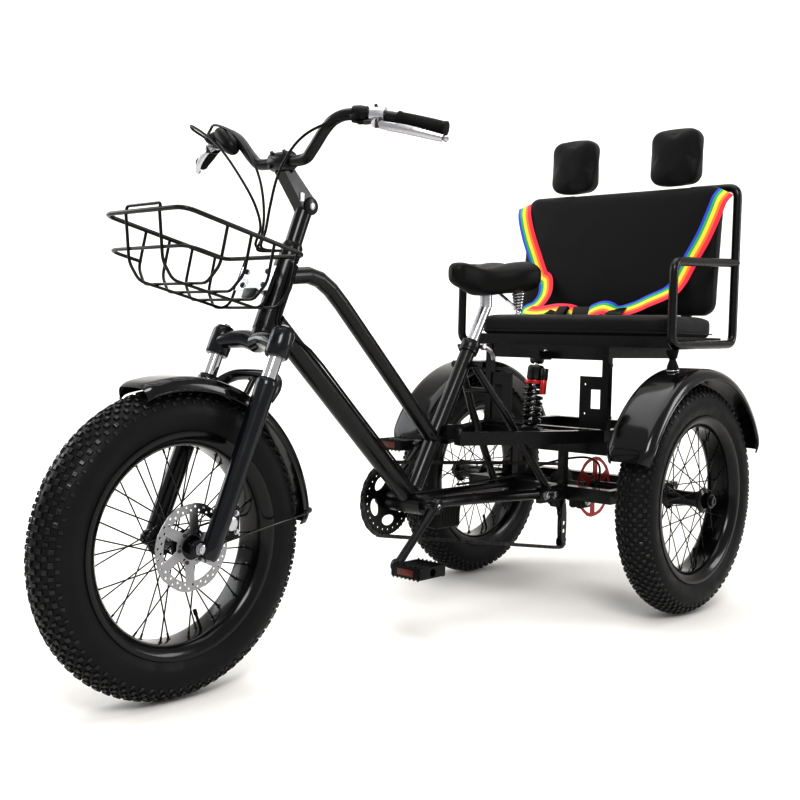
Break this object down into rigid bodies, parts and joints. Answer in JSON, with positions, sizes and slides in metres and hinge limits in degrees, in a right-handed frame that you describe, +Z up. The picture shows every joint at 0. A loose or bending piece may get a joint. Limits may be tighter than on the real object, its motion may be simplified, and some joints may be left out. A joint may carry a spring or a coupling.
{
  "type": "passenger tricycle",
  "caption": "Fat-tyre pedal tricycle with a steered front wheel, rider saddle, front basket and a padded rear passenger bench with armrests and headrests.",
  "frame": {"origin": "on the ground, at the middle of the overall length and width", "axes": "-Y forwards, +X to the vehicle's left, +Z up"},
  "size_m": [0.82, 1.8886, 1.239],
  "materials": {
    "frame_paint": "satin black powder coat",
    "tyre_rubber": "matt black tread rubber",
    "rim_black": "gloss black anodised",
    "vinyl": "soft black vinyl",
    "webbing": "woven webbing with lengthwise rainbow stripes",
    "black_plastic": "matt",
    "gloss_black": "gloss",
    "cable_rubber": "satin sheath",
    "bright_metal": "bright",
    "red_disc": "red anodised",
    "steel": "oiled steel",
    "shock_black": "gloss black coil"
  },
  "bodies": {
    "frame": {"main_frame": "frame_paint", "rear_frame": "frame_paint", "bench_frame": "frame_paint", "armrest_left": "frame_paint", "armrest_right": "frame_paint", "seat_cushion": "vinyl", "back_cushion": "vinyl", "headrest_left": "vinyl", "headrest_right": "vinyl", "seat_belts": "webbing", "rear_fender_left": "gloss_black", "rear_fender_right": "gloss_black", "shock_absorber": "shock_black", "basket": "frame_paint", "basket_plate": "bright_metal", "controller_box": "black_plastic", "derailleur": "frame_paint", "chain": "steel", "frame_cables": "cable_rubber"},
    "steering": {"fork_crown": "frame_paint", "fork_lowers": "frame_paint", "front_axle": "bright_metal", "stem": "frame_paint", "handlebar": "frame_paint", "grips": "black_plastic", "brake_levers": "bright_metal", "front_fender": "gloss_black", "steering_cables": "cable_rubber"},
    "front_wheel": {"front_tyre": "tyre_rubber", "front_rim": "rim_black", "front_hub": "rim_black", "front_rotor": "bright_metal"},
    "rear_left_wheel": {"rear_left_tyre": "tyre_rubber", "rear_left_rim": "rim_black", "rear_left_hub": "rim_black"},
    "rear_right_wheel": {"rear_right_tyre": "tyre_rubber", "rear_right_rim": "rim_black", "rear_right_hub": "rim_black"},
    "drive_axle": {"drive_shaft": "steel", "rear_rotor": "red_disc"},
    "crank": {"crankset": "frame_paint"},
    "left_pedal": {"pedal_left": "black_plastic"},
    "right_pedal": {"pedal_right": "black_plastic"},
    "saddle_post": {"seatpost": "bright_metal", "saddle": "vinyl"}
  },
  "joints": [
    {"name": "steering_turn", "type": "hinge", "parent": "frame", "child": "steering", "pos_m": [0, -0.61962, 0.26834], "axis": [0, 0.3875, 0.9219], "range_deg": [-55, 55]},
    {"name": "front_wheel_spin", "type": "hinge", "parent": "steering", "child": "front_wheel", "pos_m": [0, -0.65926, 0.285], "axis": [1, 0, 0], "continuous": true},
    {"name": "rear_left_wheel_spin", "type": "hinge", "parent": "frame", "child": "rear_left_wheel", "pos_m": [0.335, 0.64074, 0.285], "axis": [1, 0, 0], "continuous": true},
    {"name": "rear_right_wheel_spin", "type": "hinge", "parent": "frame", "child": "rear_right_wheel", "pos_m": [-0.335, 0.64074, 0.285], "axis": [1, 0, 0], "continuous": true},
    {"name": "drive_axle_spin", "type": "hinge", "parent": "frame", "child": "drive_axle", "pos_m": [0, 0.64074, 0.285], "axis": [1, 0, 0], "continuous": true},
    {"name": "crank_spin", "type": "hinge", "parent": "frame", "child": "crank", "pos_m": [0, -0.01726, 0.298], "axis": [1, 0, 0], "continuous": true},
    {"name": "left_pedal_spin", "type": "hinge", "parent": "crank", "child": "left_pedal", "pos_m": [0.078, -0.13635, 0.1838], "axis": [1, 0, 0], "continuous": true},
    {"name": "right_pedal_spin", "type": "hinge", "parent": "crank", "child": "right_pedal", "pos_m": [-0.078, 0.10183, 0.4122], "axis": [1, 0, 0], "continuous": true},
    {"name": "saddle_height", "type": "slide", "parent": "frame", "child": "saddle_post", "axis": [0, 0.5083, 0.8612], "range_m": [-0.08, 0.06]}
  ]
}
